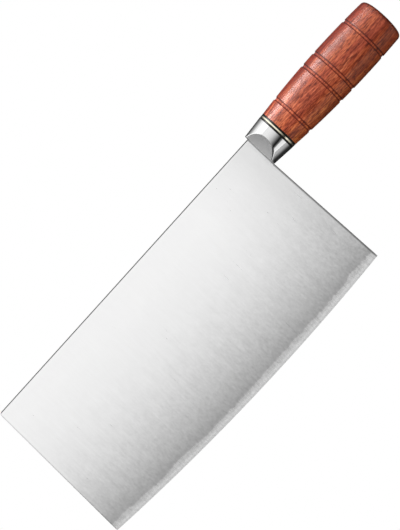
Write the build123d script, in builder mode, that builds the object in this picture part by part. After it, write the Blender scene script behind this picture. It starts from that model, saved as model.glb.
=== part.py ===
from build123d import *
import os
from math import atan2, cos, hypot, pi, radians, sin, sqrt, tan

# Chinese cleaver with a three-layer clad blade, a steel bolster and a turned wooden handle.
# X runs along the handle's axis towards the butt, Y towards the spine, and Z out of the
# blade's left cheek. The origin is where that axis meets the front face of the bolster.
# All sizes are in millimetres and all angles in degrees.

# Blade outline
edge_length = 203.2             # an eight-inch blade, heel corner to front corner
heel_overhang = 1.8             # the heel corner stands this far behind the bolster's face
front_lean = 2.75               # the lower front corner stands this far ahead of the upper one
heel_height = 92.9              # spine to edge at the heel
front_height = 89.0             # spine to edge at the front
edge_radius = 1345.0            # the edge is one long shallow arc
spine_rise = 8.65               # spine above the handle's axis, at the bolster
spine_fall_angle = 0.8          # the spine drops this much towards the front
front_corner_round = 1.4        # rounding of the upper front corner
spine_easing = 0.4              # small bevel along both corners of the spine

# Blade section
blade_thickness = 2.2
core_thickness = 0.5            # hard layer in the middle
edge_land = 0.06                # what is left of the steel at the very edge
final_bevel_height = 1.5        # honed bevel next to the edge
final_bevel_thickness = 0.6     # steel where the honed bevel starts
grind_height = 52.0             # convex ground zone above the honed bevel

# Line where the hard core comes out from under the softer layers
bare_core_height = 4.35         # mean height of that line above the edge
line_wave = 0.2                 # long swings of the line
line_wavelength = 43.0
line_ripple = 0.15              # shorter swings on top of them
line_ripple_wavelength = 19.0
line_points = 44

# Stub of the blade inside the bolster, and the tang behind it
tang_thickness = 2.0            # filed thinner than the blade, which meets the bolster in a shoulder
stub_length = 5.5
stub_top = 6.6                  # above the handle's axis
stub_bottom = 7.0               # below the handle's axis
tang_root_height = 8.0
tang_end_height = 6.0
tang_grip_length = 60.0         # how much of the tang lies inside the handle

# Bolster
bolster_length = 12.45
bolster_front_radius = 10.65
bolster_rear_radius = 11.8
bolster_edge_bevel = 0.3        # small bevel along the corner of the front face
cheek_reach = 6.9               # each ground cheek runs this far back from the front face
cheek_front_half_thickness = 4.9
cheek_turn_angle = 8.0          # both cheeks are ground turned this much towards the spine
cheek_wheel_radius = 60.0       # wheel that hollows the cheeks
cheek_edge_round = 0.4          # polished-over rim of each cheek
solder_film = 0.05              # filler metal round the stub in its slot
tang_clearance = 0.3            # room round the tang in the bolster and the rings

# Rings between the bolster and the handle
black_ring_thickness = 1.15
brass_ring_thickness = 0.8

# Handle
handle_length = 80.85
belly_radius = 14.35            # largest radius of the barrel
belly_place = 50.2              # from the handle's front face
barrel_radius = 520.0           # the barrel's outline is close to one arc
butt_rise = 0.77                # the butt's end stands out this much in its middle
butt_bevels = ((2.2, 0.0), (0.8, 0.8), (0.0, 2.2))   # its corner: ahead of the rim, below the barrel
groove_depth = 0.45
groove_mouth = 2.2              # width of a ring groove at the surface
groove_floor = 1.2              # width of its floor
groove_place_shares = (0.127, 0.407, 0.517, 0.801)   # shares of the handle's length

# Bore of the handle and the resin in it
bore_radius = 4.6
bore_overdepth = 3.0            # bore beyond the end of the tang
drill_point_angle = 59.0        # half angle of the drill's point
resin_shrinkage = 0.05          # gap that the resin leaves at the wall as it cures

overrun = 2.0                   # how far cutting shapes run past what they cut

os.makedirs("parts", exist_ok=True)


def spine_height(x):
    """Height of the spine's line above the handle's axis."""
    return spine_rise + x * tan(radians(spine_fall_angle))


# Corners of the blade
heel_corner = (heel_overhang, spine_height(heel_overhang) - heel_height)
front_corner_x = heel_overhang - edge_length
front_corner = (front_corner_x, spine_height(front_corner_x) - front_height)
front_top_x = front_corner_x + front_lean
front_top = (front_top_x, spine_height(front_top_x))

# Centre of the edge's arc, straight above the middle of the chord between the two corners
chord_x = heel_corner[0] - front_corner[0]
chord_y = heel_corner[1] - front_corner[1]
chord = hypot(chord_x, chord_y)
centre_rise = sqrt(edge_radius**2 - (chord / 2) ** 2)
arc_centre_x = (heel_corner[0] + front_corner[0]) / 2 - centre_rise * chord_y / chord
arc_centre_y = (heel_corner[1] + front_corner[1]) / 2 + centre_rise * chord_x / chord

# Places along the handle's axis
brass_start = bolster_length + black_ring_thickness
rear_black_start = brass_start + brass_ring_thickness
handle_start = rear_black_start + black_ring_thickness
handle_end = handle_start + handle_length
tang_end = handle_start + tang_grip_length
belly_x = handle_start + belly_place


def barrel_height(x):
    """Radius of the handle at x, before its grooves."""
    return belly_radius - barrel_radius + sqrt(barrel_radius**2 - (x - belly_x) ** 2)


# Outline of the sheet that the blade, its stub and its tang are cut from
with BuildSketch() as sheet_outline:
    with BuildLine():
        Line(front_top, (0, spine_rise))
        Polyline(
            (0, spine_rise),
            (0, stub_top),
            (stub_length, stub_top),
            (stub_length, tang_root_height / 2),
            (tang_end, tang_end_height / 2),
            (tang_end, -tang_end_height / 2),
            (stub_length, -tang_root_height / 2),
            (stub_length, -stub_bottom),
            (0, -stub_bottom),
            (0, -bolster_front_radius),
            heel_corner,
        )
        RadiusArc(heel_corner, front_corner, edge_radius)
        Line(front_corner, front_top)
    make_face()
    upper_front = sheet_outline.vertices().group_by(Axis.X)[0:2]
    corner = [v for group in upper_front for v in group if v.Y > 0]
    fillet(corner, radius=front_corner_round)

# The three layers together: sheet, eased spine, and cheeks ground along the edge's arc
grind_start_radius = edge_radius - final_bevel_height - grind_height
sheet_inner_radius = arc_centre_y - spine_rise - overrun
grind_drop = (blade_thickness - final_bevel_thickness) / 2
grind_arc_radius = (grind_height**2 + grind_drop**2) / (2 * grind_drop)
edge_axis = Axis((arc_centre_x, arc_centre_y, 0), (0, 0, 1))
section_plane = Plane(origin=(arc_centre_x, arc_centre_y, 0), x_dir=(0, 1, 0), z_dir=(1, 0, 0))

# Section plane square to the spine, just off the blade's front, with its y pointing down
spine_dir = (cos(radians(spine_fall_angle)), sin(radians(spine_fall_angle)), 0)
spine_front_x = front_corner_x - overrun
spine_length = -spine_front_x / spine_dir[0]
spine_plane = Plane(origin=(spine_front_x, spine_height(spine_front_x), 0), x_dir=(0, 0, 1), z_dir=spine_dir)

with BuildPart() as ground_blade:
    add(sheet_outline.sketch)
    extrude(amount=blade_thickness / 2, both=True)
    with BuildSketch(section_plane):
        with BuildLine():
            Line((sheet_inner_radius, 0), (sheet_inner_radius, blade_thickness / 2))
            Line((sheet_inner_radius, blade_thickness / 2), (grind_start_radius, blade_thickness / 2))
            RadiusArc(
                (grind_start_radius, blade_thickness / 2),
                (edge_radius - final_bevel_height, final_bevel_thickness / 2),
                grind_arc_radius,
            )
            Polyline(
                (edge_radius - final_bevel_height, final_bevel_thickness / 2),
                (edge_radius, edge_land / 2),
                (edge_radius, 0),
                (sheet_inner_radius, 0),
            )
        make_face()
        mirror(about=Plane.XZ)
    revolve(axis=edge_axis, mode=Mode.INTERSECT)
    with BuildSketch(spine_plane):
        for side in (1, -1):
            Polygon(
                (side * (blade_thickness / 2 - spine_easing - overrun), -overrun),
                (side * (blade_thickness / 2 + overrun), -overrun),
                (side * (blade_thickness / 2 + overrun), spine_easing + overrun),
                align=None,
            )
    extrude(amount=spine_length, mode=Mode.SUBTRACT)
    for side in (1, -1):
        with BuildSketch(Plane.XY.offset(side * tang_thickness / 2)):
            with Locations((tang_end / 2 + overrun, 0)):
                Rectangle(tang_end + 2 * overrun, 2 * bolster_front_radius)
        extrude(amount=side * blade_thickness, mode=Mode.SUBTRACT)


def line_height(share):
    """Height of the uneven line above the edge, from the front (0) to the heel (1)."""
    place = 2 * pi * share * edge_length
    swing = line_wave * sin(place / line_wavelength)
    return bare_core_height + swing + line_ripple * sin(place / line_ripple_wavelength)


# Everything above the line where the softer layers end, tang included
chord_angle = atan2(chord_y, chord_x)
half_sweep = (chord / 2 + overrun) / edge_radius
with BuildSketch() as covered_area:
    with BuildLine():
        line_marks = []
        for mark in range(line_points + 1):
            share = mark / line_points
            turn = chord_angle + half_sweep * (2 * share - 1)
            reach = edge_radius - line_height(share)
            line_marks.append((arc_centre_x + reach * sin(turn), arc_centre_y - reach * cos(turn)))
        Spline(*line_marks)
        Polyline(
            line_marks[-1],
            (tang_end + overrun, line_marks[-1][1]),
            (tang_end + overrun, bolster_rear_radius),
            (line_marks[0][0] - overrun, bolster_rear_radius),
            (line_marks[0][0] - overrun, line_marks[0][1]),
            line_marks[0],
        )
    make_face()

# Hard core: full thickness in the bare band, a thin sheet above it
with BuildPart() as core_layer:
    add(ground_blade.part)
    for side in (1, -1):
        with BuildSketch(Plane.XY.offset(side * core_thickness / 2)):
            add(covered_area.sketch)
        extrude(amount=side * blade_thickness, mode=Mode.SUBTRACT)
core_layer.part.label = "core_layer"
export_step(core_layer.part, "parts/core_layer.step")

# Softer layers on the two cheeks
with BuildPart() as cladding_left:
    add(ground_blade.part)
    with BuildSketch(Plane.XY.offset(core_thickness / 2)):
        add(covered_area.sketch)
    extrude(amount=blade_thickness, mode=Mode.INTERSECT)
cladding_left.part.label = "cladding_left"
export_step(cladding_left.part, "parts/cladding_left.step")

with BuildPart() as cladding_right:
    mirror(cladding_left.part, about=Plane.XY)
cladding_right.part.label = "cladding_right"
export_step(cladding_right.part, "parts/cladding_right.step")


def ring_radius(x):
    """Radius of the rings, which carry the bolster's taper on to the handle."""
    share = (x - bolster_length) / (handle_start - bolster_length)
    return bolster_rear_radius + share * (barrel_height(handle_start) - bolster_rear_radius)


tang_slot_height = tang_root_height + 2 * tang_clearance
tang_slot_width = tang_thickness + 2 * tang_clearance

# Bolster: a tapered collar whose cheeks are hollowed by a wheel down towards the blade
with BuildPart() as bolster:
    with BuildSketch():
        Polygon(
            (0, 0),
            (bolster_length, 0),
            (bolster_length, bolster_rear_radius),
            (0, bolster_front_radius),
            align=None,
        )
    revolve(axis=Axis.X)
    cheek_crest = bolster_front_radius + cheek_reach / bolster_length * (bolster_rear_radius - bolster_front_radius)
    cheek_rise = cheek_crest - cheek_front_half_thickness
    cheek_chord = hypot(cheek_reach, cheek_rise)
    wheel_stand_off = sqrt(cheek_wheel_radius**2 - (cheek_chord / 2) ** 2)
    wheel_x = cheek_reach / 2 - wheel_stand_off * cheek_rise / cheek_chord
    wheel_out = (cheek_front_half_thickness + cheek_crest) / 2 + wheel_stand_off * cheek_reach / cheek_chord
    for side in (1, -1):
        outward = Vector(0, sin(radians(cheek_turn_angle)), side * cos(radians(cheek_turn_angle)))
        wheel_centre = Vector(wheel_x, 0, 0) + outward * wheel_out
        wheel_axle = outward.cross(Vector(1, 0, 0))
        with Locations(Plane(origin=wheel_centre, x_dir=(1, 0, 0), z_dir=wheel_axle)):
            Cylinder(cheek_wheel_radius, 4 * bolster_rear_radius, mode=Mode.SUBTRACT)
    fillet(bolster.edges().filter_by(GeomType.BSPLINE), radius=cheek_edge_round)
    chamfer(bolster.faces().sort_by(Axis.X)[0].edges(), length=bolster_edge_bevel)
    stub_slot_top = stub_top + solder_film
    stub_slot_bottom = stub_bottom + solder_film
    with BuildSketch(Plane.YZ):
        with Locations(((stub_slot_top - stub_slot_bottom) / 2, 0)):
            Rectangle(stub_slot_top + stub_slot_bottom, tang_thickness + 2 * solder_film)
    extrude(amount=stub_length + solder_film, mode=Mode.SUBTRACT)
    with BuildSketch(Plane.YZ):
        Rectangle(tang_slot_height, tang_slot_width)
    extrude(amount=bolster_length, mode=Mode.SUBTRACT)
bolster.part.label = "bolster"
export_step(bolster.part, "parts/bolster.step")

# Rings threaded on the tang
rings = (
    ("front_black_spacer", bolster_length, black_ring_thickness),
    ("brass_spacer", brass_start, brass_ring_thickness),
    ("rear_black_spacer", rear_black_start, black_ring_thickness),
)
for ring_name, ring_start, ring_thickness in rings:
    ring_end = ring_start + ring_thickness
    with BuildPart() as ring:
        with BuildSketch():
            Polygon(
                (ring_start, 0),
                (ring_end, 0),
                (ring_end, ring_radius(ring_end)),
                (ring_start, ring_radius(ring_start)),
                align=None,
            )
        revolve(axis=Axis.X)
        with BuildSketch(Plane.YZ.offset(ring_start)):
            Rectangle(tang_slot_height, tang_slot_width)
        extrude(amount=ring_thickness, mode=Mode.SUBTRACT)
    ring.part.label = ring_name
    export_step(ring.part, f"parts/{ring_name}.step")

# Handle: one turned barrel with four ring grooves and a drilled bore
bore_bottom = tang_end + bore_overdepth
drill_tip = bore_bottom + bore_radius / tan(radians(drill_point_angle))
butt_rim_x = handle_end - butt_rise
butt_marks = [(butt_rim_x - ahead, barrel_height(butt_rim_x - ahead) - drop) for ahead, drop in butt_bevels]
with BuildPart() as handle:
    with BuildSketch():
        with BuildLine():
            Spline((handle_start, barrel_height(handle_start)), (belly_x, belly_radius), butt_marks[0])
            Polyline(
                *butt_marks,
                (handle_end, 0),
                (drill_tip, 0),
                (bore_bottom, bore_radius),
                (handle_start, bore_radius),
                (handle_start, barrel_height(handle_start)),
            )
        make_face()
        for place_share in groove_place_shares:
            groove_x = handle_start + place_share * handle_length
            surface = barrel_height(groove_x)
            wall_run = (groove_mouth - groove_floor) / 2
            mouth_reach = groove_mouth / 2 + wall_run
            Polygon(
                (groove_x - mouth_reach, surface + groove_depth),
                (groove_x - groove_floor / 2, surface - groove_depth),
                (groove_x + groove_floor / 2, surface - groove_depth),
                (groove_x + mouth_reach, surface + groove_depth),
                align=None,
                mode=Mode.SUBTRACT,
            )
    revolve(axis=Axis.X)
handle.part.label = "handle"
export_step(handle.part, "parts/handle.step")

# Resin round the tang in the handle's bore
resin_radius = bore_radius - resin_shrinkage
with BuildPart() as tang_resin:
    with BuildSketch():
        Polygon(
            (handle_start, 0),
            (drill_tip - resin_shrinkage, 0),
            (bore_bottom, resin_radius),
            (handle_start, resin_radius),
            align=None,
        )
    revolve(axis=Axis.X)
    add(sheet_outline.sketch)
    extrude(amount=tang_thickness / 2, both=True, mode=Mode.SUBTRACT)
tang_resin.part.label = "tang_resin"
export_step(tang_resin.part, "parts/tang_resin.step")
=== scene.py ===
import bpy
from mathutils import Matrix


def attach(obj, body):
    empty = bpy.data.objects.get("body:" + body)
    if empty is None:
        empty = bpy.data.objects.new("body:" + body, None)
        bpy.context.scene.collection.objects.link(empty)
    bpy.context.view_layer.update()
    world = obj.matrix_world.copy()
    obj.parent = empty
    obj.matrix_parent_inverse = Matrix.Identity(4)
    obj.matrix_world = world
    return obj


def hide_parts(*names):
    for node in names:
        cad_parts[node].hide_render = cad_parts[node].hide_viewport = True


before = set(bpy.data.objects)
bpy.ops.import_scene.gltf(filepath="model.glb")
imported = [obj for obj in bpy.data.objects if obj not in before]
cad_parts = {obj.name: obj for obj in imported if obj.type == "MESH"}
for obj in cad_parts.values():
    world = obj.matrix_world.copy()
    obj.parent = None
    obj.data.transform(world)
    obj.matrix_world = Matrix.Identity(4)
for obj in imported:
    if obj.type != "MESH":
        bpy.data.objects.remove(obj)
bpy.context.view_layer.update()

import math

import bmesh
import bpy
from mathutils import Matrix, Vector, noise


# Table, light and camera. The knife lies on a pale table on its right cheek. The front of the
# blade and the belly of the handle carry it, so the blade rises a little towards the handle.
# The table glows a plain white, and soft boxes, panels and lamps light the knife.
class Wire:
    """A value on its way through a node tree. Arithmetic on it adds Math nodes."""

    def __init__(self, tree, socket=None):
        self.tree = tree
        self.socket = socket

    def node(self, kind, settings=(), sockets=(), output=0):
        """Adds a node: first its settings, then the values or links of its sockets."""
        made = self.tree.nodes.new(kind)
        for name, value in dict(settings).items():
            if name == "stops":
                elements = made.color_ramp.elements
                while len(elements) < len(value):
                    elements.new(1.0)
                for element, (place, colour) in zip(elements, value):
                    rgb = colour if hasattr(colour, "__len__") else (colour,) * 3
                    element.position = place
                    element.color = (*rgb, 1.0)
            else:
                setattr(made, name, value)
        for name, value in dict(sockets).items():
            for wire in value if isinstance(value, list) else [value]:
                if isinstance(wire, Wire):
                    self.tree.links.new(wire.socket, made.inputs[name])
                else:
                    made.inputs[name].default_value = wire
        return Wire(self.tree, made.outputs[output]) if made.outputs else made

    def out(self, name):
        """Another output of the node that this value comes from."""
        return Wire(self.tree, self.socket.node.outputs[name])

    def math(self, operation, *values):
        return self.node("ShaderNodeMath", {"operation": operation}, dict(enumerate(values)))

    def __add__(self, other):
        return self.math("ADD", self, other)

    def __radd__(self, other):
        return self.math("ADD", other, self)

    def __sub__(self, other):
        return self.math("SUBTRACT", self, other)

    def __rsub__(self, other):
        return self.math("SUBTRACT", other, self)

    def __mul__(self, other):
        return self.math("MULTIPLY", self, other)

    def __rmul__(self, other):
        return self.math("MULTIPLY", other, self)

    def __truediv__(self, other):
        return self.math("DIVIDE", self, other)

    def __pow__(self, other):
        return self.math("POWER", self, other)


def new_finish(name):
    """An empty material, and a wire to draw its nodes from."""
    finish = bpy.data.materials.new(name)
    finish.use_nodes = True
    finish.node_tree.nodes.clear()
    return finish, Wire(finish.node_tree)


def grade(wire, value, stops):
    """A value read through a ramp of (place, level or colour)."""
    return wire.node("ShaderNodeValToRGB", {"stops": stops}, {"Fac": value})


def put(name, data):
    """A new object in the scene that holds the data."""
    made = bpy.data.objects.new(name, data)
    bpy.context.scene.collection.objects.link(made)
    return made


# Lengths are in millimetres, as on a maker's drawing, and MM turns them into metres.
MM = 0.001
rest_tilt = math.radians(2.95)
table_up = Vector((math.sin(rest_tilt), 0, math.cos(rest_tilt)))
table_along = Vector((table_up.z, 0, -table_up.x))
table_across = Vector((0, 1, 0))
table_contact = Vector((39.1, 0, -13.51)) * MM
table_reach = 6000 * MM

table_mesh = bpy.data.meshes.new("table")
table_corners = [
    table_contact + (side * table_along + other * table_across) * table_reach
    for side, other in ((-1, -1), (1, -1), (1, 1), (-1, 1))
]
table_mesh.from_pydata(table_corners, [], [(0, 1, 2, 3)])
table_finish, wire = new_finish("table_white")
glow = wire.node("ShaderNodeEmission", {}, {"Color": (1, 1, 1, 1), "Strength": 1.0})
wire.node("ShaderNodeOutputMaterial", {}, {"Surface": glow})
table_mesh.materials.append(table_finish)
table = put("table", table_mesh)
table.visible_glossy = False
table.visible_diffuse = False

# Long soft boxes run beside the knife. Each pair is an angle from straight up, positive
# towards the spine's side, and the brightness there.
soft_boxes = (
    (-180, 0.03), (-125, 0.05), (-117, 0.08), (-108, 0.25), (-98, 0.6), (-85, 0.8), (-76, 0.78),
    (-68, 0.5), (-62, 0.4), (-55, 0.3), (-50, 0.02), (-44, 0.02), (-38, 0.17), (-30, 0.4),
    (-20, 0.7), (-10, 0.94), (0, 1.13), (10, 1.3), (20, 1.42), (31, 1.53), (43, 1.55),
    (48, 1.5), (52, 0.8), (86, 0.7), (91, 1.7), (104, 1.6), (113, 1.05), (125, 0.6),
    (136, 0.3), (150, 0.1), (180, 0.03),
)
# The boxes end beyond the knife, so light that comes from far along it is weaker. Each pair is
# how far a direction points along the knife, and the share of the light that is left.
box_ends = (
    (-1.0, 0.3), (-0.9, 0.33), (-0.7, 0.8), (-0.5, 1.0), (0.7, 1.0), (0.95, 0.4), (1.0, 0.35),
)
studio = bpy.data.worlds.new("studio")
bpy.context.scene.world = studio
studio.use_nodes = True
studio.node_tree.nodes.clear()
air = Wire(studio.node_tree)
heading = air.node("ShaderNodeTexCoord").out("Generated")


def points_along(direction):
    """How far the heading points along a direction."""
    sockets = {0: heading, 1: direction}
    return air.node("ShaderNodeVectorMath", {"operation": "DOT_PRODUCT"}, sockets).out("Value")


turn_from_up = air.math("ARCTAN2", points_along(table_across), points_along(table_up))
strongest = max(level for _, level in soft_boxes)
box_stops = [(angle / 360 + 0.5, level / strongest) for angle, level in soft_boxes]
end_stops = [(place / 2 + 0.5, level) for place, level in box_ends]
box_light = grade(air, turn_from_up / (2 * math.pi) + 0.5, box_stops)
end_light = grade(air, points_along(table_along) / 2 + 0.5, end_stops)
lit = air.node("ShaderNodeBackground", {}, {"Strength": box_light * end_light * strongest})
plain = air.node("ShaderNodeBackground", {}, {"Color": (1, 1, 1, 1), "Strength": 1.0})
seen = air.node("ShaderNodeLightPath").out("Is Camera Ray")
sky = air.node("ShaderNodeMixShader", {}, {"Fac": seen, 1: lit, 2: plain})
air.node("ShaderNodeOutputWorld", {}, {"Surface": sky})

# Two panels light all but the blade, which would flare. Two narrow lamps make the shine on the
# wood and the black rings alone, and a fill without a shine lights the blade alone. Each has its
# angle from straight up, its distance, length, width and place along the knife in metres, and
# its brightness.
masked_blade = bpy.data.collections.new("masked_blade")
shine_on = bpy.data.collections.new("shine_on")
blade_only = bpy.data.collections.new("blade_only")
for name, angle, distance, long, wide, place, brightness, lit_pieces in (
    ("spine_panel", 70, 2.0, 7.0, 1.456, 0.0, 1.05, masked_blade),
    ("edge_panel", -65, 2.0, 7.0, 0.634, 0.0, 0.85, masked_blade),
    ("shine_lamp", 81, 1.0, 1.2, 0.36, -0.4, 17.0, shine_on),
    ("low_shine_lamp", 60, 1.0, 1.2, 0.3, -0.4, 5.0, shine_on),
    ("blade_fill", 0, 2.0, 4.0, 4.0, 0.0, 0.36, blade_only),
):
    lamp = bpy.data.lights.new(name, "AREA")
    lamp.shape = "RECTANGLE"
    lamp.size = long
    lamp.size_y = wide
    lamp.energy = brightness * math.pi * long * wide
    stand = put(name, lamp)
    lean = math.radians(angle)
    away = table_across * math.sin(lean) + table_up * math.cos(lean)
    stand.location = away * distance + Vector((place, 0, 0))
    stand.rotation_euler = away.to_track_quat("Z", "Y").to_euler()
    stand.visible_camera = False
    stand.visible_diffuse = lit_pieces is not shine_on
    stand.visible_glossy = lit_pieces is not blade_only
    stand.light_linking.receiver_collection = lit_pieces

# The camera looks straight down on the table, turned so that the knife points to the lower left.
look_at = Vector((-66.4, -18.43, 0)) * MM
camera_height = 952.3 * MM
camera_right = Vector((0.682, -0.7314, 0))
camera_right = (camera_right - camera_right.dot(table_up) * table_up).normalized()
camera_top = table_up.cross(camera_right)
lens = bpy.data.cameras.new("camera")
lens.lens = 121.04
lens.sensor_width = 36
lens.clip_start = 50 * MM
camera = put("camera", lens)
camera_turn = Matrix((camera_right, camera_top, table_up)).transposed().to_4x4()
camera.matrix_world = Matrix.Translation(look_at + camera_height * table_up) @ camera_turn
bpy.context.scene.camera = camera
bpy.context.scene.view_settings.view_transform = "Standard"


# Blade. One sheet forge-welded from three layers of stainless steel: a hard core between two
# softer layers. It is ground thin towards the edge, where the core comes out in a bare band.
edge_length = 203.2
heel_corner = (1.8, -84.225)
front_corner = (-201.4, -83.162)
front_top_x = -198.65
spine_at_bolster = 8.65
spine_slope = math.tan(math.radians(0.8))
heel_bend_y = -10.6
edge_radius = 1345.0
front_round = 1.4
spine_easing = 0.4
spine_drop = 0.8
half_sheet = 1.1
half_core = 0.25
half_edge = 0.03
half_bevel = 0.3
bevel_height = 1.5
grind_height = 52.0
end_easing = 0.5
front_easing_rate = 2.5
half_tang = 1.0
stub = ((0, 6.6), (5.5, 6.6), (5.5, 4.0), (75.4, 3.0))
stub += ((75.4, -3.0), (5.5, -4.0), (5.5, -7.0), (0, -7.0))

chord = (heel_corner[0] - front_corner[0], heel_corner[1] - front_corner[1])
chord_length = math.hypot(*chord)
chord_rise = math.sqrt(edge_radius**2 - chord_length**2 / 4)
arc_x = (heel_corner[0] + front_corner[0]) / 2 - chord_rise * chord[1] / chord_length
arc_y = (heel_corner[1] + front_corner[1]) / 2 + chord_rise * chord[0] / chord_length
grind_drop = half_sheet - half_bevel
grind_arc = (grind_height**2 + grind_drop**2) / (2 * grind_drop)


def spine_y(x):
    return spine_at_bolster + x * spine_slope


def across_blade(share, y):
    """The x at a share of the way from the blade's front to its heel, at that height."""
    front_rise = spine_y(front_top_x) - front_corner[1]
    front = front_corner[0] + (y - front_corner[1]) / front_rise * (front_top_x - front_corner[0])
    below_top = spine_y(front_top_x) - y
    if below_top < front_round:
        reach = max(front_round**2 - (front_round - max(below_top, 0)) ** 2, 0)
        front += front_round - math.sqrt(reach)
    heel = 0.0
    if y < heel_bend_y:
        heel = heel_corner[0] * (heel_bend_y - y) / (heel_bend_y - heel_corner[1])
    return front + share * (heel - front)


def edge_y(share):
    """The edge's height at a share of the blade. Its x depends on y, so y is found in steps."""
    y = front_corner[1]
    for _ in range(4):
        y = arc_y - math.sqrt(edge_radius**2 - (across_blade(share, y) - arc_x) ** 2)
    return y


def half_thickness(x, y):
    """Half the ground blade's thickness at a point of the cheek."""
    above = edge_radius - math.hypot(x - arc_x, y - arc_y)
    if above < bevel_height:
        return half_edge + (half_bevel - half_edge) * max(above, 0) / bevel_height
    rest = grind_height + bevel_height - above
    if rest <= 0:
        return half_sheet
    return half_sheet - grind_arc + math.sqrt(grind_arc**2 - rest**2)


def eased(half, share, least):
    """Half the thickness after the easing of the blade's front and heel."""
    into = min(share * front_easing_rate, 1 - share) * edge_length
    return max(half - max(end_easing - into, 0), least)


# The bare band's upper line wanders in three waves, each with its size, its length along the
# edge and its seed. Towards the heel the two short ones grow and the band narrows.
bare_height = 4.35
wild_from, wild_gain = 0.7, 2.2
narrow_from, narrow_gain = 0.65, 0.9
scallop_sag = 0.25


def wave(place, size, length, seed):
    return size * noise.noise(Vector((place / length, *seed)))


def bare_line(share):
    """Height of the scalloped line where the softer layers end, above the edge."""
    place = share * edge_length
    wild = 1 + max(share - wild_from, 0) * wild_gain
    swing = wave(place, 0.9, 26, (0.5, 3.1))
    scallop = wave(place, 0.95 * wild, 7.5, (4.2, 0.7))
    ripple = wave(place, 0.6 * wild, 2.2, (9.4, 2.2))
    middle = bare_height - narrow_gain * max(share - narrow_from, 0)
    return middle + swing + scallop + ripple - scallop_sag * abs(scallop)


# Each layer is a net of columns from the front to the heel and rows from its lower edge to the
# spine, closer together where a line or a rounding needs them.
column_count = 360
clear_of_ends = 0.005
band_row_count = 10
cheek_row_count = 40
cheek_row_growth = 1.6
cheek_rows_end = 0.975


def share_range(count):
    return [step / count for step in range(count + 1)]


front_columns = [inset / edge_length for inset in (0.0, 0.2, 0.4, 0.6, 0.9)]
blade_columns = [
    *front_columns,
    *(share for share in share_range(column_count) if clear_of_ends < share < 1 - clear_of_ends),
    *(1 - share for share in front_columns[::-1]),
]
band_rows = share_range(band_row_count)
top_rows = [0.982, 0.9865, 0.99, 0.993, 0.9955, 0.998, 1.0]
cheek_rows = [cheek_rows_end * row**cheek_row_growth for row in share_range(cheek_row_count)]
cheek_rows += top_rows
flat_rows = [0.0, 0.3, 0.8] + top_rows
tang_mark = 50.0


def blade_layer(name, rows_at, tang_left, tang_right):
    """A layer of the blade: a net on its left and right faces, closed all round, and its tang."""
    points, heights, past_line, faces = [], [], [], []
    for share in blade_columns:
        low = edge_y(share)
        rows = rows_at(share, low)
        section = [(y, left) for y, left, _ in rows] + [(y, right) for y, _, right in rows[::-1]]
        points += [(across_blade(share, y), y, z) for y, z in section]
        heights += [y - low for y, _ in section]
        past_line += [y - low - bare_line(share) for y, _ in section]
    ring = 2 * len(rows)
    last = len(blade_columns) - 1
    for start in range(0, last * ring, ring):
        for step in range(ring):
            after = (step + 1) % ring
            faces.append((start + step, start + after, start + ring + after, start + ring + step))
    for start in (0, last * ring):
        for step in range(len(rows) - 1):
            left, right = start + step, start + ring - 1 - step
            faces.append((left, left + 1, right - 1, right))
    first, count = len(points), len(stub)
    for z in (tang_left, tang_right):
        points += [(x, y, z) for x, y in stub]
        heights += [tang_mark] * count
        past_line += [tang_mark] * count
    faces.append(tuple(range(first, first + count)))
    faces.append(tuple(range(first + count, first + 2 * count)))
    for step in range(count):
        left, after = first + step, first + (step + 1) % count
        faces.append((left, after, after + count, left + count))
    return solid(name, points, faces, {"above_edge": heights, "past_line": past_line})


def solid(name, points, faces, marks, sharp_from=28):
    """A closed mesh from points in millimetres, which carries a value of each mark per point."""
    mesh = bpy.data.meshes.new(name)
    mesh.from_pydata([(x * MM, y * MM, z * MM) for x, y, z in points], [], faces)
    for mark, values in marks.items():
        mesh.attributes.new(mark, "FLOAT", "POINT").data.foreach_set("value", values)
    dress_corners(mesh, sharp_from)
    return put(name, mesh)


def dress_corners(mesh, sharp_from):
    """Turns the faces outwards and keeps only corners sharper than an angle in degrees sharp."""
    form = bmesh.new()
    form.from_mesh(mesh)
    bmesh.ops.dissolve_degenerate(form, dist=1e-7, edges=form.edges)
    bmesh.ops.recalc_face_normals(form, faces=form.faces)
    for face in form.faces:
        face.smooth = True
    for edge in form.edges:
        edge.smooth = edge.calc_face_angle(0) < math.radians(sharp_from)
    form.to_mesh(mesh)
    form.free()


def core_rows(share, low):
    """Rows of the core: its bare band, ground with the cheeks, and its flat part between them."""
    line = bare_line(share)
    rows = []
    for row in band_rows:
        y = low + line * row
        half = eased(half_thickness(across_blade(share, y), y), share, half_edge)
        rows.append((y, half, -half))
    top = spine_y(across_blade(share, spine_at_bolster))
    for row in flat_rows:
        rows.append((low + line + (top - low - line) * row, half_core, -half_core))
    return rows


def cladding_rows(side):
    """Rows of a softer layer, from the line up to the eased corner of the spine."""
    def rows_at(share, low):
        line = bare_line(share)
        top = spine_y(across_blade(share, spine_at_bolster))
        shoulder = top - spine_easing
        rows = []
        for row in cheek_rows:
            y = low + line + (shoulder - low - line) * row
            half = eased(half_thickness(across_blade(share, y), y), share, half_core + half_edge)
            rows.append((y, side * half, side * half_core))
        rows.append((top, side * (half_sheet - spine_drop), side * half_core))
        return rows
    return rows_at


core = blade_layer("blade_core", core_rows, half_core, -half_core)
left_cladding = blade_layer("blade_cladding_left", cladding_rows(1), half_tang, half_core)
right_cladding = blade_layer("blade_cladding_right", cladding_rows(-1), -half_core, -half_tang)


def show(wire, sockets):
    """Ends a material in a Principled shader with these sockets."""
    shader = wire.node("ShaderNodeBsdfPrincipled", {}, sockets)
    wire.node("ShaderNodeOutputMaterial", {}, {"Surface": shader})


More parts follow.
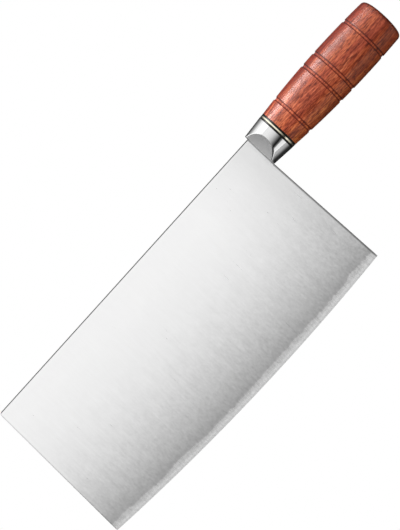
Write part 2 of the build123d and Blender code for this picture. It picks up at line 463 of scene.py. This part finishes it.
def place_on(wire, scale=(1, 1, 1), turn=(0, 0, 0)):
    """Object coordinates in millimetres, turned and stretched."""
    where = wire.node("ShaderNodeTexCoord").out("Object")
    stretch = tuple(share / MM for share in scale)
    sockets = {"Vector": where, "Rotation": turn, "Scale": stretch}
    return wire.node("ShaderNodeMapping", {}, sockets)


def axes(wire):
    """Object coordinates in millimetres, one by one."""
    return wire.node("ShaderNodeSeparateXYZ", {}, {0: place_on(wire)})


def marked(wire, mark):
    """A value that the mesh carries at each of its points."""
    return wire.node("ShaderNodeAttribute", {"attribute_name": mark}).out("Fac")


def cloud(wire, scale, detail=3.0, turn=(0, 0, 0), rough=0.5):
    """Noise from 0 to 1 whose scale is in cycles a millimetre along each axis."""
    where = place_on(wire, scale, turn)
    sockets = {"Vector": where, "Scale": 1.0, "Detail": detail, "Roughness": rough}
    return wire.node("ShaderNodeTexNoise", {}, sockets)


def grey(wire, level):
    return wire.node("ShaderNodeCombineColor", {}, {0: level, 1: level, 2: level})


def relief(wire, strength, depth, height):
    """A Bump node for scratches or pores of a depth in millimetres."""
    sockets = {"Strength": strength, "Distance": depth * MM, "Height": height}
    return wire.node("ShaderNodeBump", {}, sockets)


# The painted dark lines along the rims of the sheet, which stand in for shade, are read inwards
# from its outline over rim_reach, and the painted shades upwards from the cutting edge over
# shade_height. Every pair is a share of that and a level. The heel's rim ends at the bolster, so
# there the ramp is read past_rim further in. The front's rim also has a faint painted highlight,
# and heel_shadow is a painted shadow on the blade near the bolster.
rim_reach = 3.33
past_rim = 5
shade_height = 100
line_reach = 2
heel_zone = 50
heel_rim_slope, heel_rim_x = 0.0245, -0.26
front_rim_slope, front_rim_x = 0.0299, -198.92
spine_rim = ((0.0, 0.08), (0.13, 0.1), (0.17, 0.9), (0.3, 1.05), (0.5, 1.0))
heel_rim = ((0.0, 0.45), (0.25, 0.45), (0.34, 0.95), (0.6, 1.0))
front_rim = ((0.0, 0.78), (0.15, 0.8), (0.24, 1.0), (0.5, 1.03), (0.7, 1.0))
heel_shadow = ((0.1, 0.0), (0.6, 0.07), (0.86, 0.16))
heel_shadow_rise = ((0.12, 0.0), (0.35, 1.0))
grain_fade = ((0.0, 1.0), (0.3, 0.8), (0.62, 0.25), (0.95, 0.12))
scratch_fade = ((0.0, 0.75), (0.12, 0.6), (0.4, 0.25), (0.6, 0.15))
# Painted shade on the cladding, darker towards the edge.
cladding_painted_shade = (
    (0.0, 0.42), (0.055, 0.43), (0.129, 0.55), (0.225, 0.676),
    (0.35, 0.81), (0.48, 0.9), (0.61, 0.955), (0.8, 1.0),
)
cladding_line = ((0.5, 1.16), (0.7, 1.06), (0.95, 1.0))
# The core's bare band has its own darker tone, and its honed bevel a painted highlight.
core_tone_and_highlight = (
    (0.0, 1.0), (0.0135, 1.0), (0.0155, 0.82), (0.019, 0.74), (0.024, 0.65), (0.032, 0.61),
    (0.06, 0.6),
)
core_line = ((0.1, 1.0), (0.5, 0.92))
grain_rub, blotch_rub, heel_rub = 0.3, 0.16, 1.5
grain_roughness = 0.12


def steel(name, tone_and_light_stops, line_stops, base, metal, rough):
    """Ground stainless steel with a fine cross grain and painted light and shade."""
    finish, wire = new_finish(name)
    above = marked(wire, "above_edge") / shade_height
    past_line = marked(wire, "past_line") / line_reach
    place = axes(wire)
    x, y = place.out("X"), place.out("Y")
    grain = cloud(wire, (0.75, 0.06, 0.5), 5.0, (0, 0, math.radians(-3)), 0.62)
    scratch = cloud(wire, (0.8, 0.42, 0.6), 5.0, (0, 0, math.radians(12)), 0.62)
    blotch = cloud(wire, (0.2, 0.14, 0.2), 3.0)
    at_bolster = wire.math("GREATER_THAN", y, heel_bend_y)
    # Painted shade: dark lines along the spine, heel and front, and a painted shadow near the
    # heel.
    painted_rim_and_heel_shade = 1.0
    for inside, stops in (
        (spine_at_bolster + spine_slope * x - y, spine_rim),
        (heel_rim_x - heel_rim_slope * y - x + past_rim * at_bolster, heel_rim),
        (x - front_rim_slope * y - front_rim_x, front_rim),
    ):
        painted_rim_and_heel_shade = grade(wire, inside / rim_reach, stops) * painted_rim_and_heel_shade
    near_heel = grade(wire, x / heel_zone + 1, heel_shadow)
    painted_rim_and_heel_shade = painted_rim_and_heel_shade * (1 - near_heel * grade(wire, above, heel_shadow_rise))
    worn = grade(wire, above, scratch_fade) + heel_rub * near_heel
    rub = (grain - 0.5) * grain_rub + (scratch - 0.5) * worn + (blotch - 0.5) * blotch_rub
    # Painted shade by height above the edge: darker towards the edge on the cladding, and on the
    # core the bare band's own tone with a painted highlight on the honed bevel.
    shade = grade(wire, above, tone_and_light_stops) * grade(wire, past_line + 0.5, line_stops)
    level = base * painted_rim_and_heel_shade * shade * (1 + grade(wire, above, grain_fade) * rub)
    show(wire, {
        "Base Color": grey(wire, level),
        "Metallic": metal,
        "Roughness": rough + grain_roughness * (grain - 0.5),
        "Normal": relief(wire, 0.15, 0.02, grain),
    })
    return finish


cladding_steel = steel(
    "satin_cladding_steel", cladding_painted_shade, cladding_line, base=0.99, metal=0.7, rough=0.3
)
core_steel = steel("honed_core_steel", core_tone_and_highlight, core_line, base=1.0, metal=0.75, rough=0.28)

for piece, finish, node, slot in (
    (core, core_steel, "core_layer", "core_steel"),
    (left_cladding, cladding_steel, "cladding_left", "cladding_steel"),
    (right_cladding, cladding_steel, "cladding_right", "cladding_steel"),
):
    piece.data.materials.append(finish)
    blade_only.objects.link(piece)
    masked_blade.objects.link(piece)
    masked_blade.collection_objects[-1].light_linking.link_state = "EXCLUDE"
    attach(piece, "root")
    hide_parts(node)


# Bolster. A turned collar of stainless steel, soldered to the blade. A wheel has hollowed its
# two cheeks down towards the blade, which are left satin, and the rest is polished. Polishing
# has left it slightly flat low down, and hollow along the lower edge of each cheek.
bolster_length = 12.45
bolster_front_radius = 10.65
bolster_rear_radius = 11.8
bevel_length = 0.3
front_bevel = ((0.0, 0.3), (0.04, 0.15), (0.15, 0.04), (bevel_length, 0.0))
flat_depth = 0.36
cheek_reach = 6.9
cheek_front = 4.9
cheek_turn = math.radians(8)
cheek_rounding = 0.35
cheek_dip, cheek_dip_full = 0.3, 0.37
wheel_radius = 60.0
under_turn = math.radians(20)
under_start, under_slope = 0.05, 0.34
under_guess = -0.6
under_from, cheek_from = 0.3, 0.05
under_rounding, under_rounding_share = 0.25, 2.5
satin_onset = 7
slot_depth = 5.55
slot_sides = (6.65, -7.05, 1.05)
hole_sides = (4.3, -4.3, 1.3)
collar_turns = 320
collar_rings = 64

cheek_crest = bolster_front_radius
cheek_crest += cheek_reach / bolster_length * (bolster_rear_radius - bolster_front_radius)
cheek_rise = cheek_crest - cheek_front
cheek_chord = math.hypot(cheek_reach, cheek_rise)
stand_off = math.sqrt(wheel_radius**2 - cheek_chord**2 / 4)
wheel_x = cheek_reach / 2 - stand_off * cheek_rise / cheek_chord
wheel_out = (cheek_front + cheek_crest) / 2 + stand_off * cheek_reach / cheek_chord


def body_radius(x, up):
    """Radius of the turned body, slightly flat low down, more so towards the rings."""
    share = x / bolster_length
    flat = max(1 - abs(1 + 2 * up), 0)
    full = bolster_front_radius + share * (bolster_rear_radius - bolster_front_radius)
    return full - flat_depth * share * flat * flat * (3 - 2 * flat)


def rounded_min(one, other, rim):
    """The smaller of two radii, with the corner between them rounded."""
    return min(one, other) - (max(rim - abs(one - other), 0) / rim) ** 3 * rim / 6


def cheek_plane(x, up):
    """Distance of a cheek's ground face from the axis. It is slightly less low down."""
    arc = wheel_out - math.sqrt(wheel_radius**2 - (x - wheel_x) ** 2)
    return arc - cheek_dip * (x / cheek_reach) ** 2 * min(max(-up / cheek_dip_full, 0), 1)


def under_cut(x):
    """Distance and depth of the hollow polished along the lower edge of a cheek."""
    plane = cheek_plane(x, -1)
    lowest = body_radius(x, under_guess)
    if plane >= lowest:
        return math.inf, 0.0
    corner = cheek_turn - math.acos(plane / lowest)
    lowest = body_radius(x, math.sin(corner))
    corner = cheek_turn - math.acos(min(plane / lowest, 1))
    past = -corner - under_turn
    if past <= 0:
        return math.inf, 0.0
    apart = cheek_turn + under_turn
    depth = (under_start + under_slope * x) * math.sin(apart)
    depth *= math.sin(past) / math.sin(apart + past)
    return lowest * math.cos(past) - depth, depth


def collar(x, up, out):
    """The collar's radius at x in a direction, and how much of the satin grind shows there."""
    radius, satin = body_radius(x, up), 0.0
    plane = cheek_plane(x, up)
    under, depth = under_cut(x)
    for side in (1, -1):
        leaning = side * out * math.cos(under_turn) - up * math.sin(under_turn)
        if depth > 0 and leaning > under_from:
            rounding = min(under_rounding, under_rounding_share * depth)
            radius = rounded_min(radius, under / leaning, rounding)
        facing = up * math.sin(cheek_turn) + side * out * math.cos(cheek_turn)
        if facing > cheek_from:
            satin = max(satin, min((radius - plane / facing) * satin_onset, 1))
            radius = rounded_min(radius, plane / facing, cheek_rounding)
    return radius, satin


def opening(sides, up, out):
    """Distance from the axis to the wall of a square-cut opening in a direction."""
    top, bottom, half = sides
    wall = (top if up > 0 else bottom) / up if abs(up) > 1e-6 else math.inf
    return min(wall, half / abs(out)) if abs(out) > 1e-6 else wall


corners = [
    (y, z)
    for top, bottom, half in (slot_sides, hole_sides)
    for y in (top, bottom)
    for z in (half, -half)
]
turns = [2 * math.pi * step / collar_turns for step in range(collar_turns)]
turns = sorted(turns + [math.atan2(z, y) % (2 * math.pi) for y, z in corners])
behind_bevel = bolster_length - bevel_length
shell = list(front_bevel)
for step in range(1, collar_rings + 1):
    shell.append((bevel_length + behind_bevel * step / collar_rings, 0))
points, satins = [], []
for x, inset in shell:
    for turn in turns:
        radius, satin = collar(x, math.cos(turn), math.sin(turn))
        radius -= inset
        points.append((x, radius * math.cos(turn), radius * math.sin(turn)))
        satins.append(satin)
for x, walls in (
    (bolster_length, (hole_sides,)),
    (slot_depth, (hole_sides,)),
    (slot_depth, (hole_sides, slot_sides)),
    (0, (hole_sides, slot_sides)),
):
    for turn in turns:
        radius = max(opening(sides, math.cos(turn), math.sin(turn)) for sides in walls)
        points.append((x, radius * math.cos(turn), radius * math.sin(turn)))
        satins.append(0.0)
faces = []
for start in range(0, len(points), len(turns)):
    after = (start + len(turns)) % len(points)
    for step in range(len(turns)):
        following = (step + 1) % len(turns)
        faces.append((start + step, start + following, after + following, after + step))
bolster = solid("turned_bolster", points, faces, {"satin": satins}, 35)

polish_level, satin_level, satin_lines = 0.67, 0.33, 0.2
polish_roughness, satin_roughness = 0.09, 0.26
# under_shadow darkens the collar's lower side below its axis, read over under_reach: painted
# shadow.
under_reach = 12
under_shadow = ((0.68, 1.0), (0.8, 0.75), (0.95, 0.6))
bolster_finish, wire = new_finish("polished_bolster_steel")
satin = marked(wire, "satin")
lines = cloud(wire, (1.6, 0.05, 0.4), 3.0, rough=0.6)
level = polish_level + satin * (satin_level + satin_lines * (lines - 0.5))
below = axes(wire).out("Y") / -under_reach
show(wire, {
    "Base Color": grey(wire, level * grade(wire, below, under_shadow)),
    "Metallic": 1.0,
    "Roughness": polish_roughness + satin * satin_roughness,
    "Normal": relief(wire, 0.25, 0.03, lines * satin),
})
bolster.data.materials.append(bolster_finish)
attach(bolster, "root")
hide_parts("bolster")


# Rings. A brass ring between two black fibre rings, threaded on the tang and squeezed between
# the bolster and the handle, then turned and polished together with them.
fibre_tones = ((0.3, (0.004, 0.0035, 0.003)), (0.7, (0.012, 0.01, 0.008)))
brass_tones = ((0.3, (0.74, 0.68, 0.5)), (0.7, (0.84, 0.8, 0.66)))


def refinish(node, finish):
    """Gives a carried-over CAD node its finish."""
    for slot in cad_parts[node].material_slots:
        slot.material = finish


fibre_finish, wire = new_finish("polished_black_fibre")
speck = cloud(wire, (2.5, 2.5, 2.5), 4.0)
show(wire, {
    "Base Color": grade(wire, speck, fibre_tones),
    "Roughness": 0.3 + 0.1 * speck,
    "Specular IOR Level": 0.18,
})
for node in ("front_black_spacer", "rear_black_spacer"):
    refinish(node, fibre_finish)
    shine_on.objects.link(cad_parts[node])

brass_finish, wire = new_finish("polished_brass")
turning = cloud(wire, (9.0, 0.2, 0.2), 3.0)
show(wire, {
    "Base Color": grade(wire, turning, brass_tones),
    "Metallic": 1.0,
    "Roughness": 0.14 + 0.1 * turning,
    "Normal": relief(wire, 0.2, 0.02, turning),
})
refinish("brass_spacer", brass_finish)


# Handle. A barrel turned from one piece of reddish hardwood, with four narrow ring grooves cut
# in the lathe, whose walls are painted dark as shade, a rounded butt and an oiled, polished
# surface. It is bored with a drill, and resin holds it on the tang.
handle_start = 15.55
handle_sizes = {
    "Length": 80.85,
    "Belly Radius": 14.35,
    "Belly Place": 50.2,
    "Barrel Radius": 520.0,
    "Butt Turn": 3.8,
    "Butt Corner": 1.34,
    "Butt Shoulder": 12.5,
    "Groove Depth": 0.45,
    "Groove Mouth": 2.2,
    "Groove Floor": 1.2,
    "Bore Radius": 4.6,
    "Bore Depth": 63.0,
    "Drill Point": 2.764,
}
groove_shares = {"Groove 1": 0.127, "Groove 2": 0.407, "Groove 3": 0.517, "Groove 4": 0.801}
handle_sides = 176
barrel_rings = 340
butt_rings = 26

turning_tree = bpy.data.node_groups.new("turned_handle", "GeometryNodeTree")
for name in (*handle_sizes, *groove_shares):
    turning_tree.interface.new_socket(name, in_out="INPUT", socket_type="NodeSocketFloat")
turning_tree.interface.new_socket("Wood", in_out="INPUT", socket_type="NodeSocketMaterial")
turning_tree.interface.new_socket("Geometry", in_out="OUTPUT", socket_type="NodeSocketGeometry")
lathe = Wire(turning_tree)
given = lathe.node("NodeGroupInput")
size = {name: given.out(name) for name in handle_sizes}


def turned(rings, outline):
    """Turns a run of the outline round the axis. outline gives x and radius at a share of it."""
    counts = {"Vertices X": rings + 1, "Vertices Y": handle_sides + 1}
    net = lathe.node("GeometryNodeMeshGrid", {}, counts)
    parts = lathe.node("ShaderNodeSeparateXYZ", {}, {0: net.out("UV Map")})
    x, radius = outline(parts.out("X"))
    turn = parts.out("Y") * (2 * math.pi)
    y, z = radius * lathe.math("COSINE", turn), radius * lathe.math("SINE", turn)
    where = lathe.node("ShaderNodeCombineXYZ", {}, {"X": x, "Y": y, "Z": z})
    sockets = {"Geometry": net.out("Mesh"), "Position": where}
    return lathe.node("GeometryNodeSetPosition", {}, sockets)


def barrel(x):
    """Radius of the barrel at x from the handle's front, before its grooves."""
    away = x - size["Belly Place"]
    drop = size["Barrel Radius"] - lathe.math("SQRT", size["Barrel Radius"] ** 2 - away * away)
    return size["Belly Radius"] - drop


def barrel_outline(share):
    """The barrel with its grooves, up to where the butt turns in."""
    x = share * (size["Length"] - size["Butt Turn"])
    radius = barrel(x)
    for groove in groove_shares:
        middle = given.out(groove) * size["Length"]
        sockets = {
            "Value": lathe.math("ABSOLUTE", x - middle),
            "From Min": size["Groove Mouth"] / 2,
            "From Max": size["Groove Floor"] / 2,
        }
        cut = lathe.node("ShaderNodeMapRange", {"interpolation_type": "SMOOTHSTEP"}, sockets)
        radius = radius - cut * size["Groove Depth"]
    return x, radius


def butt_outline(share):
    """One smooth curve from the barrel round the corner to the middle of the butt."""
    start = size["Length"] - size["Butt Turn"]
    corner = size["Length"] - size["Butt Corner"]
    left = 1 - share
    at_start, at_corner = left * left * left, 3 * left * left * share
    at_shoulder, at_middle = 3 * left * share * share, share * share * share
    x = at_start * start + at_corner * corner + (at_shoulder + at_middle) * size["Length"]
    radius = at_start * barrel(start) + at_corner * barrel(corner)
    return x, radius + at_shoulder * size["Butt Shoulder"]


def front_outline(share):
    """The flat front, from the bore out to the barrel."""
    return share * 0, size["Bore Radius"] + share * (barrel(share * 0) - size["Bore Radius"])


def drill_point_outline(share):
    return size["Bore Depth"] + (1 - share) * size["Drill Point"], share * size["Bore Radius"]


def bore_outline(share):
    return (1 - share) * size["Bore Depth"], size["Bore Radius"]


runs = [
    turned(1, front_outline),
    turned(barrel_rings, barrel_outline),
    turned(butt_rings, butt_outline),
    turned(1, drill_point_outline),
    turned(1, bore_outline),
]
joined = lathe.node("GeometryNodeJoinGeometry", {}, {0: runs})
closed = lathe.node("GeometryNodeMergeByDistance", {}, {"Geometry": joined, "Distance": 0.001})
sockets = {"Geometry": closed, "Translation": (handle_start * MM, 0, 0), "Scale": (MM, MM, MM)}
scaled = lathe.node("GeometryNodeTransform", {}, sockets)
real = lathe.node("GeometryNodeRealizeInstances", {}, {"Geometry": scaled})
sockets = {"Geometry": real, "Material": given.out("Wood")}
dressed = lathe.node("GeometryNodeSetMaterial", {}, sockets)
lathe.node("NodeGroupOutput", {}, {"Geometry": dressed})

# The grain is noise drawn out along the handle, from wide bands down to pores. Each ramp has
# pairs of a place and a colour, and all but the first are tints.
band_colours = (
    (0.3, (0.27, 0.048, 0.02)), (0.42, (0.37, 0.064, 0.026)), (0.5, (0.44, 0.075, 0.032)),
    (0.56, (0.5, 0.11, 0.042)), (0.62, (0.42, 0.07, 0.027)), (0.72, (0.32, 0.065, 0.026)),
)
streak_tints = (
    (0.3, (0.65, 0.52, 0.48)), (0.42, (1.0, 1.0, 1.0)), (0.475, (0.95, 0.93, 0.92)),
    (0.495, (0.5, 0.35, 0.33)), (0.52, (1.0, 1.0, 1.0)), (0.6, (1.25, 1.45, 1.55)),
    (0.67, (0.8, 0.7, 0.65)), (0.75, (1.2, 1.35, 1.45)),
)
hair_tints = (
    (0.4, (1.1, 1.15, 1.2)), (0.46, (1.0, 1.0, 1.0)), (0.5, (0.68, 0.55, 0.52)),
    (0.54, (1.0, 1.0, 1.0)), (0.62, (1.12, 1.2, 1.25)),
)
pore_tints = ((0.34, (0.45, 0.34, 0.32)), (0.45, (0.95, 0.93, 0.92)), (0.62, (1.25, 1.4, 1.5)))
# From the lower side of the handle to its upper side: painted shade darkens both sides and
# leaves the middle lighter
across_width = 28
side_shade_tints = (
    (0.0, (0.6, 0.55, 0.4)), (0.07, (0.85, 0.85, 0.55)), (0.2, (1.0, 1.1, 0.65)),
    (0.4, (1.0, 1.0, 1.0)), (0.55, (1.12, 1.15, 1.1)), (0.78, (1.1, 1.15, 1.1)),
    (0.88, (0.92, 0.72, 0.62)), (0.94, (0.7, 0.36, 0.3)),
)
# Near the rings the wood is figured, with a pale flame along its middle. There painted shade
# also darkens its lower and upper sides, with a faint painted highlight near the upper side.
figure_length = 30
figure_fade = ((0.1, 1.0), (0.6, 0.0))
flame_tints = ((0.42, (0.6, 0.5, 0.5)), (0.5, (1.0, 1.0, 1.0)), (0.57, (1.4, 1.7, 1.6)))
figure_and_side_shade_tints = (
    (0.1, (0.7, 0.66, 0.6)), (0.3, (0.72, 0.66, 0.62)), (0.4, (1.1, 1.05, 1.0)),
    (0.435, (1.5, 1.7, 1.5)), (0.485, (2.2, 2.8, 2.2)), (0.52, (1.5, 1.7, 1.6)),
    (0.555, (0.78, 0.74, 0.74)), (0.61, (0.9, 0.88, 0.88)), (0.7, (1.0, 1.0, 1.0)),
    (0.84, (1.0, 1.1, 1.2)), (0.88, (0.7, 0.58, 0.7)), (0.92, (0.52, 0.46, 0.55)),
)
# From the rings to the butt: lighter near the rings, darker towards the butt, and darkest on
# the butt's rounded rim, which is painted shade
length_tints_and_butt_shade = (
    (0.0, (1.5, 1.65, 1.8)), (0.13, (1.4, 1.5, 1.65)), (0.22, (1.03, 1.08, 1.12)),
    (0.45, (0.98, 0.97, 0.97)), (0.65, (0.89, 0.84, 0.82)), (0.945, (0.86, 0.81, 0.79)),
    (0.97, (0.62, 0.56, 0.56)), (0.986, (0.36, 0.32, 0.32)), (0.996, (0.18, 0.15, 0.15)),
)
# From the middle of a groove outwards: its floor is pale and dull, and its walls are darkened
# with painted shade
groove_half = 2
groove_shade_tints = (
    (0.0, (1.2, 1.25, 1.25)), (0.18, (1.05, 1.05, 1.05)), (0.32, (0.4, 0.24, 0.17)),
    (0.56, (0.4, 0.24, 0.17)), (0.66, (1.0, 1.0, 1.0)),
)
groove_roughness = ((0.3, 0.35), (0.6, 0.0))
pore_roughness = ((0.36, 0.1), (0.46, 0.0))
hair_roughness = ((0.46, 0.0), (0.5, 0.12), (0.54, 0.0))
wood_roughness = 0.28
even = (1.0, 1.0, 1.0)

wood, wire = new_finish("oiled_red_hardwood")


def blend(operation, *vectors):
    settings = {"operation": operation}
    return wire.node("ShaderNodeVectorMath", settings, dict(enumerate(vectors)))


drift = cloud(wire, (0.022, 0.07, 0.07), 2.0).out("Color")
bent = blend("MULTIPLY_ADD", drift, (0.0, 3.0, 3.0), place_on(wire))


def fibres(scale, detail, rough=0.5):
    """Noise drawn out along the bent grain, in cycles a millimetre."""
    where = blend("MULTIPLY", bent, scale)
    sockets = {"Vector": where, "Scale": 1.0, "Detail": detail, "Roughness": rough}
    return wire.node("ShaderNodeTexNoise", {}, sockets)


bands = fibres((0.011, 0.12, 0.12), 3.0)
streaks = fibres((0.03, 0.44, 0.44), 3.0, 0.55)
hairs = fibres((0.06, 0.85, 0.85), 2.0)
pores = fibres((0.3, 1.3, 1.3), 2.0, 0.6)
flame = fibres((0.03, 0.33, 0.33), 3.0)
place = axes(wire)
from_front = place.out("X") - handle_start
across = place.out("Y") / across_width + 0.5
near_rings = grade(wire, from_front / figure_length, figure_fade)
tone = grade(wire, bands, band_colours)
# The tint read across the handle is painted shade on its lower and upper sides.
for value, stops in (
    (streaks, streak_tints),
    (hairs, hair_tints),
    (pores, pore_tints),
    (across, side_shade_tints),
    (0.5 + (flame - 0.5) * near_rings, flame_tints),
):
    tone = blend("MULTIPLY", tone, grade(wire, value, stops))
# Near the rings: the pale flame, painted shade on both sides and a faint painted highlight.
figure = blend("SUBTRACT", grade(wire, across, figure_and_side_shade_tints), even)
tone = blend("MULTIPLY", tone, blend("MULTIPLY_ADD", figure, near_rings, even))
# Painted shade darkens the butt's rounded rim.
tone = blend("MULTIPLY", tone, grade(wire, from_front / handle_sizes["Length"], length_tints_and_butt_shade))
rough = grade(wire, pores, pore_roughness) + grade(wire, hairs, hair_roughness) + wood_roughness
# Painted shade darkens each groove's walls, and its floor is paler and duller.
for share in groove_shares.values():
    middle = handle_start + share * handle_sizes["Length"]
    away = wire.math("ABSOLUTE", place.out("X") - middle) / groove_half
    tone = blend("MULTIPLY", tone, grade(wire, away, groove_shade_tints))
    rough = rough + grade(wire, away, groove_roughness)
show(wire, {
    "Base Color": tone,
    "Roughness": rough,
    "Specular IOR Level": 0.28,
    "Normal": relief(wire, 0.08, 0.1, pores * 0.6 + streaks * 0.4),
})

blank = put("handle_blank", bpy.data.meshes.new("handle_blank"))
lathe_work = blank.modifiers.new("turning", "NODES")
lathe_work.node_group = turning_tree
settings = {**handle_sizes, **groove_shares, "Wood": wood}
for item in turning_tree.interface.items_tree:
    if item.in_out == "INPUT":
        lathe_work[item.identifier] = settings[item.name]
turned_blank = blank.evaluated_get(bpy.context.evaluated_depsgraph_get())
turned_mesh = bpy.data.meshes.new_from_object(turned_blank)
turned_mesh.name = "turned_handle"
bpy.data.objects.remove(blank)
dress_corners(turned_mesh, 50)
handle = put("turned_handle", turned_mesh)
shine_on.objects.link(handle)
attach(handle, "root")
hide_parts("handle")


# Resin. Cast epoxy that fills the bore round the tang and holds the handle. It can't be seen
# once the rings and the handle are on.
resin_tones = ((0.3, (0.48, 0.38, 0.22)), (0.7, (0.62, 0.52, 0.34)))
resin_finish, wire = new_finish("cast_resin")
haze = cloud(wire, (0.4, 0.4, 0.4), 4.0)
show(wire, {"Base Color": grade(wire, haze, resin_tones), "Roughness": 0.35 + 0.2 * haze})
refinish("tang_resin", resin_finish)
